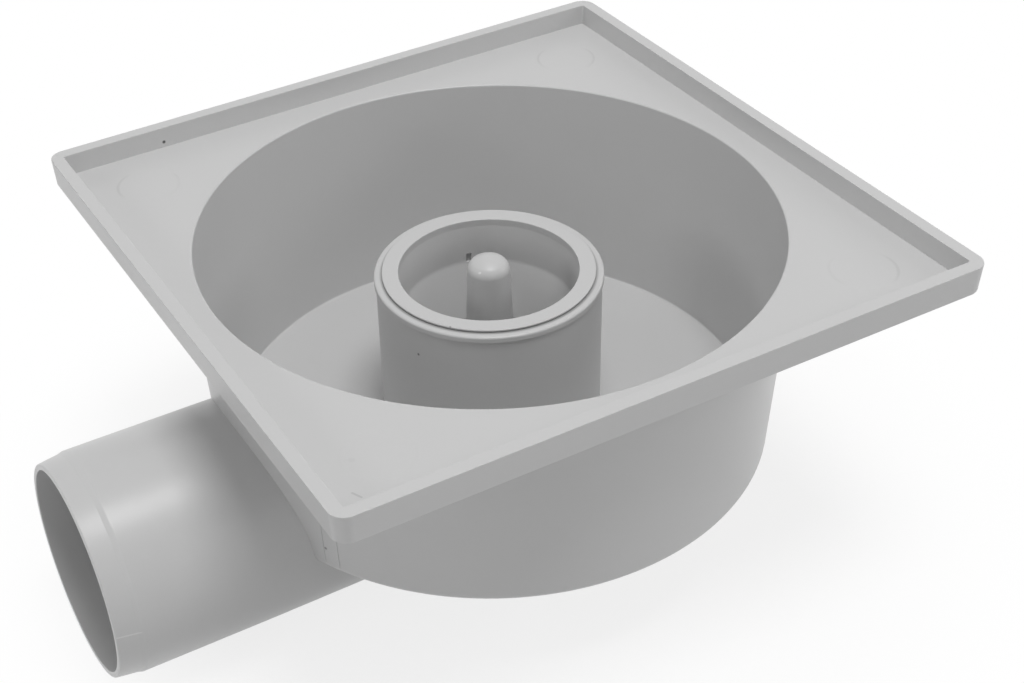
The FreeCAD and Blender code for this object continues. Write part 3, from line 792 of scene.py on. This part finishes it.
def moulded_plastic_group():
    """Shader group for the faint flow shading, gloss variation and skin of moulded plastic."""
    group = start_group("Moulded plastic skin",
                        {"Colour": "Color", "Roughness": "Float", "Flow": "Float"},
                        {"Colour": "Color", "Roughness": "Float", "Height": "Float"})
    inside = add_node(group, "NodeGroupInput", (-900, 0)).outputs
    outside = add_node(group, "NodeGroupOutput", (700, 0)).inputs
    where = object_place(group, (-900, -300))
    broad = add_noise(group, (-600, 200), where, scale=22.0, detail=2.0)
    fine = add_noise(group, (-600, -100), where, scale=900.0, detail=3.0)
    skin = add_noise(group, (-600, -400), where, scale=160.0, detail=2.0)
    # shares of the fine grain in the flow, of the flow in the gloss, and of the grain in the skin
    grain_share, gloss_share, skin_share = 0.35, 0.18, 0.25
    swing = calculate(group, "SUBTRACT", (-400, 200), broad, 0.5)
    grain = calculate(group, "SUBTRACT", (-400, 50), fine, 0.5)
    swing = calculate(group, "MULTIPLY_ADD", (-200, 200), grain, grain_share, swing)
    shade = calculate(group, "MULTIPLY_ADD", (0, 200), swing, inside["Flow"], 1.0)
    tinted = calculate_vector(group, "MULTIPLY", (350, 200), inside["Colour"], shade)
    rough = calculate(group, "MULTIPLY_ADD", (0, -100), swing, gloss_share, inside["Roughness"],
                      clamp=True)
    height = calculate(group, "MULTIPLY_ADD", (0, -400), fine, skin_share, skin)
    feed(group, (tinted, rough, height), outside)
    return group


def small_mark_group():
    """Shader group for one small straight mark, speck or painted highlight: its tone at the mark
    and 0 elsewhere.
    """
    group = start_group("Small mark", {"Place": "Vector", "Half length": "Vector",
                                       "Width": "Float", "Tone": "Float"}, {"Shade": "Float"})
    inside = add_node(group, "NodeGroupInput", (-900, 0)).outputs
    outside = add_node(group, "NodeGroupOutput", (900, 0)).inputs
    where = object_place(group, (-900, 300))
    offset = calculate_vector(group, "SUBTRACT", (-700, 200), where, inside["Place"])
    reach = calculate_vector(group, "LENGTH", (-700, -50), inside["Half length"])
    way = calculate_vector(group, "NORMALIZE", (-700, -200), inside["Half length"])
    along = calculate_vector(group, "DOT_PRODUCT", (-500, 0), offset, way)
    far = calculate(group, "MINIMUM", (-300, 0), along, reach)
    near = calculate(group, "MULTIPLY", (-300, -200), reach, -1.0)
    held = calculate(group, "MAXIMUM", (-100, 0), far, near)
    nearest = calculate_vector(group, "MULTIPLY", (100, -100), way, held)
    gap = calculate_vector(group, "DISTANCE", (300, 100), offset, nearest)
    share = calculate(group, "DIVIDE", (450, 100), gap, inside["Width"])
    # share of the width that has the full tone
    core = 0.4
    mask = map_range(group, (600, 100), share, core, 1.0, 1.0, 0.0)
    feed(group, [calculate(group, "MULTIPLY", (750, 0), mask, inside["Tone"])], outside)
    return group


def seam_shade_group(seam_radius, seam_level):
    """Shader group for the painted shade along the seam under the lip: 1, and less close to the
    seam.
    """
    group = start_group("Seam shade", {}, {"Shade": "Float"})
    outside = add_node(group, "NodeGroupOutput", (900, 0)).inputs
    x, y, z = separate(group, (-700, 0), object_place(group, (-900, 0)))
    radius = hypotenuse(group, (-500, 100), x, y)
    gap = hypotenuse(group, (100, 0),
                     calculate(group, "SUBTRACT", (-100, 100), radius, seam_radius),
                     calculate(group, "SUBTRACT", (-100, -100), z, seam_level))
    feed(group, [map_range(group, (500, 0), gap, *SEAM_REACH, SEAM_TONE)], outside)
    return group


def add_seam_shade(tree, group):
    """Add the shared painted seam shade to a material and return its value."""
    return add_node(tree, "ShaderNodeGroup", (-1100, 600), node_tree=group).outputs["Shade"]


def plastic_material(name, group, colour, roughness, flow):
    """Satin moulded plastic that uses the shared skin group; add_small_marks gives its colour."""
    material = bpy.data.materials.new(name)
    material.use_nodes = True
    tree = material.node_tree
    shader = tree.nodes["Principled BSDF"]
    skin = add_node(tree, "ShaderNodeGroup", (-500, 200), name="Skin", node_tree=group)
    skin.inputs["Colour"].default_value = (*colour, 1)
    skin.inputs["Roughness"].default_value = roughness
    skin.inputs["Flow"].default_value = flow
    tree.links.new(skin.outputs["Roughness"], shader.inputs["Roughness"])
    shader.inputs["Specular IOR Level"].default_value = 0.4
    relief = add_node(tree, "ShaderNodeBump", (-250, -200), name="Relief")
    relief.inputs["Strength"].default_value = 0.12
    relief.inputs["Distance"].default_value = 0.0002
    tree.links.new(skin.outputs["Height"], relief.inputs["Height"])
    tree.links.new(relief.outputs["Normal"], shader.inputs["Normal"])
    return tree


def add_small_marks(tree, group, marks, shade):
    """Tone the plastic's colour by a painted shade and by small marks, and lead it to the shader.
    """
    for row, (place, half, width, tone) in enumerate(marks):
        up = 900 + 220 * row
        mark = add_node(tree, "ShaderNodeGroup", (-1100, up), node_tree=group)
        mark.inputs["Place"].default_value = [MM * value for value in place]
        mark.inputs["Half length"].default_value = [MM * value for value in half]
        mark.inputs["Width"].default_value = MM * width
        mark.inputs["Tone"].default_value = tone
        shade = calculate(tree, "ADD", (-800, up), mark.outputs["Shade"], shade)
    plain = tree.nodes["Skin"].outputs["Colour"]
    toned = calculate_vector(tree, "MULTIPLY", (-250, 400), plain, shade)
    tree.links.new(toned, tree.nodes["Principled BSDF"].inputs["Base Color"])


def add_ejector_marks_and_shade(tree, finish):
    """Sink faint round marks into the tray floor's corners and return the painted shade round them.

    The mould's ejectors left the marks. A darker line of painted shade shows on the sides of a mark
    that face left and right in the first view. It is weaker towards the middle of the tray, and
    the corner nearest to the camera has none.
    """
    radius = finish.mark_radius
    x, y, z = separate(tree, (-1300, -300), object_place(tree, (-1500, -300)))
    across = calculate(tree, "ABSOLUTE", (-1100, -200), x)
    across = calculate(tree, "SUBTRACT", (-950, -200), across, finish.mark_place)
    along = calculate(tree, "ABSOLUTE", (-1100, -400), y)
    along = calculate(tree, "SUBTRACT", (-950, -400), along, finish.mark_place)
    distance = hypotenuse(tree, (-650, -300), across, along)

    step = map_range(tree, (-350, -400), distance, radius - MARK_EDGE, radius + MARK_EDGE,
                     -MARK_SINK, 0.0)
    on_floor = map_range(tree, (-350, -700), z, *MARK_LEVELS, kind="LINEAR")
    height = calculate(tree, "MULTIPLY_ADD", (0, -400), step, on_floor,
                       tree.nodes["Skin"].outputs["Height"])
    tree.links.new(height, tree.nodes["Relief"].inputs["Height"])

    # Painted shade: a darker line along each mark's edge, only on its sides that face left and
    # right in the first view
    away = calculate(tree, "SUBTRACT", (-500, -900), distance, radius)
    away = calculate(tree, "ABSOLUTE", (-350, -900), away)
    tone = map_range(tree, (-150, -900), away, *MARK_SHADE_LINE, 1.0, 0.0)
    # the corners mirror one another, so the view's direction turns round with the sign of X Y
    sign = calculate(tree, "MULTIPLY", (-1100, -1400), x, y)
    sign = calculate(tree, "SIGN", (-950, -1400), sign)
    sideways = calculate(tree, "MULTIPLY", (-800, -1400), along, sign)
    sideways = calculate(tree, "MULTIPLY", (-650, -1400), sideways, VIEW_SIDE[1])
    sideways = calculate(tree, "MULTIPLY_ADD", (-500, -1400), across, VIEW_SIDE[0], sideways)
    sideways = calculate(tree, "ABSOLUTE", (-350, -1400), sideways)
    side_shade = map_range(tree, (-150, -1150), sideways, 0.6 * radius, radius,
                         0.0, -finish.mark_painted_shade)
    corner = calculate(tree, "ADD", (-350, -1700), x, y)
    not_nearest = map_range(tree, (-150, -1700), corner, -1.6 * finish.mark_place,
                            -0.6 * finish.mark_place, kind="LINEAR")
    outwards = calculate(tree, "ADD", (-350, -2000), across, along)
    outer = map_range(tree, (-150, -2000), outwards, -1.2 * radius, -0.6 * radius, MARK_SHADE_INNER,
                      kind="LINEAR")
    for row, share in enumerate((side_shade, on_floor, not_nearest, outer)):
        tone = calculate(tree, "MULTIPLY", (200, -900 - 200 * row), tone, share)
    return calculate(tree, "ADD", (350, -900), tone, 1.0)


class TRAP_OT_materials(bpy.types.Operator):
    """Make the satin grey plastic of the body and of the insert"""

    bl_idname = "trap.materials"
    bl_label = "Plastics"

    def execute(self, context):
        finish = context.scene.trap_finish
        seam_radius = context.scene.trap_insert_sizes.lip_radius
        skin_group = moulded_plastic_group()
        mark_group = small_mark_group()
        seam_group = seam_shade_group(seam_radius, levels()["standpipe_top"])
        body = plastic_material("Body plastic", skin_group, finish.body_colour,
                                finish.roughness, flow=0.04)
        # The body's colour takes painted shade round the ejector marks and along the seam under the
        # lip
        shade = calculate(body, "MULTIPLY", (-950, 700), add_ejector_marks_and_shade(body, finish),
                          add_seam_shade(body, seam_group))
        add_small_marks(body, mark_group, BODY_MARKS, shade)
        insert = plastic_material("Insert plastic", skin_group, finish.insert_colour,
                                  finish.roughness + INSERT_ROUGHER, flow=0.03)
        # The insert's colour takes painted shade along the seam under the lip
        add_small_marks(insert, mark_group, INSERT_SPECK_AND_HIGHLIGHT, add_seam_shade(insert, seam_group))
        return {"FINISHED"}


# Stage

# The floor lies this far under the trap
FLOOR_GAP = 0.0002


def seen_directly(tree, place):
    """1 for rays that show the backdrop: from the camera, in a reflection or through glass."""
    across, up = place
    path = add_node(tree, "ShaderNodeLightPath", (across - 200, up)).outputs
    seen = calculate(tree, "MAXIMUM", place, path["Is Camera Ray"], path["Is Glossy Ray"])
    return calculate(tree, "MAXIMUM", (across + 180, up), seen, path["Is Transmission Ray"])


def mix_shaders(tree, place, share, plain, shown, output):
    """Lead a plain shader to the output, and the shown one by its share."""
    mix = add_node(tree, "ShaderNodeMixShader", place)
    feed(tree, (share, plain.outputs[0], shown.outputs[0]), mix.inputs)
    tree.links.new(mix.outputs[0], tree.nodes[output].inputs["Surface"])


def floor_material(stage):
    """Pale floor that keeps a faint shadow and looks white to the camera."""
    material = bpy.data.materials.new("Pale floor")
    material.use_nodes = True
    tree = material.node_tree
    shader = tree.nodes["Principled BSDF"]
    shader.inputs["Roughness"].default_value = 0.9
    shader.inputs["Specular IOR Level"].default_value = 0.0
    seen = seen_directly(tree, (-700, 300))
    colour = add_node(tree, "ShaderNodeMix", (-300, 100), data_type="RGBA")
    colour.inputs["A"].default_value = (*stage.floor_colour, 1)
    colour.inputs["B"].default_value = (1, 1, 1, 1)
    tree.links.new(seen, colour.inputs["Factor"])
    tree.links.new(colour.outputs["Result"], shader.inputs["Base Color"])
    away = calculate_vector(tree, "LENGTH", (-500, 600), object_place(tree, (-700, 600)))
    fade = map_range(tree, (-300, 600), away, 0.5 * stage.shadow_reach, stage.shadow_reach,
                     stage.floor_white)
    share = calculate(tree, "MULTIPLY", (0, 400), seen, fade)
    white = add_node(tree, "ShaderNodeEmission", (0, -400))
    mix_shaders(tree, (300, 0), share, shader, white, "Material Output")
    return material


def light_world(stage):
    """Even soft light from all round, in front of a white background."""
    world = bpy.data.worlds.new("Soft room")
    bpy.context.scene.world = world
    world.use_nodes = True
    tree = world.node_tree
    room = tree.nodes["Background"]
    white = add_node(tree, "ShaderNodeBackground", (0, -200))
    for shader in (room, white):
        shader.inputs["Color"].default_value = (1, 1, 1, 1)
    room.inputs["Strength"].default_value = stage.room_light
    mix_shaders(tree, (200, 0), seen_directly(tree, (-300, 300)), room, white, "World Output")


def add_lamp(name, direction, power, size=0.35, distance=1.2):
    """Soft round lamp that looks at the trap from a direction."""
    aim = Vector((0, 0, -0.04))
    place = aim + Vector(direction).normalized() * distance
    bpy.ops.object.light_add(type="AREA", location=place)
    lamp = bpy.context.active_object
    lamp.name = name
    lamp.data.shape = "DISK"
    lamp.data.size = size
    lamp.data.energy = power
    lamp.rotation_mode = "QUATERNION"
    lamp.rotation_quaternion = (aim - place).to_track_quat("-Z", "Y")


def add_camera():
    """Camera from which the trap is first seen."""
    azimuth, elevation, roll = math.radians(-26.99), math.radians(35.98), math.radians(-3.09)
    back = Vector((math.sin(azimuth) * math.cos(elevation),
                   -math.cos(azimuth) * math.cos(elevation), math.sin(elevation)))
    right = Vector((0, 0, 1)).cross(back).normalized()
    up = back.cross(right)
    turn = Matrix((right * math.cos(roll) + up * math.sin(roll),
                   up * math.cos(roll) - right * math.sin(roll), back)).transposed()
    bpy.ops.object.camera_add(location=(-0.16353, -0.28306, 0.20273))
    camera = bpy.context.active_object
    camera.name = "Camera"
    camera.rotation_mode = "QUATERNION"
    camera.rotation_quaternion = turn.to_quaternion()
    camera.data.sensor_width = 36.0
    camera.data.lens = 62.47
    camera.data.shift_x = 0.0955
    camera.data.shift_y = -0.0032
    camera.data.clip_start = 0.01
    camera.data.clip_end = 10.0
    bpy.context.scene.camera = camera


class TRAP_OT_stage(bpy.types.Operator):
    """Set the pale floor, the soft light and the camera"""

    bl_idname = "trap.stage"
    bl_label = "Stage"

    def execute(self, context):
        stage = context.scene.trap_stage
        floor = start_piece("Floor", bpy.ops.mesh.primitive_plane_add, size=6.0,
                            location=(0, 0, BODY_LOW.z - FLOOR_GAP))
        floor.data.materials.append(floor_material(stage))
        light_world(stage)
        add_lamp("Top lamp", (0, -0.22, 0.97), stage.top_power, size=0.5)
        add_lamp("Right lamp", (0.85, -0.4, 0.35), stage.right_power)
        add_lamp("Left lamp", (-0.9, 0.25, 0.4), stage.left_power)
        add_camera()
        context.scene.view_settings.view_transform = "Standard"
        return {"FINISHED"}


class TRAP_PT_panel(bpy.types.Panel):
    """Steps that build the gully trap"""

    bl_label = "Gully trap"
    bl_idname = "TRAP_PT_panel"
    bl_space_type = "VIEW_3D"
    bl_region_type = "UI"
    bl_category = "Gully trap"

    def draw(self, context):
        layout = self.layout
        for operator in (TRAP_OT_materials, TRAP_OT_body, TRAP_OT_insert, TRAP_OT_stage):
            layout.operator(operator.bl_idname)
        for group in (context.scene.trap_body_sizes, context.scene.trap_insert_sizes,
                      context.scene.trap_finish, context.scene.trap_stage):
            box = layout.box()
            for name in group.__annotations__:
                box.prop(group, name)


CLASSES = (TrapBodySizes, InsertSizes, PlasticFinish, StageSettings, TRAP_OT_materials,
           TRAP_OT_body, TRAP_OT_insert, TRAP_OT_stage, TRAP_PT_panel)


def register():
    for item in CLASSES:
        bpy.utils.register_class(item)
    bpy.types.Scene.trap_body_sizes = bpy.props.PointerProperty(type=TrapBodySizes)
    bpy.types.Scene.trap_insert_sizes = bpy.props.PointerProperty(type=InsertSizes)
    bpy.types.Scene.trap_finish = bpy.props.PointerProperty(type=PlasticFinish)
    bpy.types.Scene.trap_stage = bpy.props.PointerProperty(type=StageSettings)


def unregister():
    del bpy.types.Scene.trap_stage
    del bpy.types.Scene.trap_finish
    del bpy.types.Scene.trap_insert_sizes
    del bpy.types.Scene.trap_body_sizes
    for item in reversed(CLASSES):
        bpy.utils.unregister_class(item)


def main():
    register()
    bpy.ops.trap.materials()
    bpy.ops.trap.body()
    bpy.ops.trap.insert()
    bpy.ops.trap.stage()


if __name__ == "__main__":
    main()
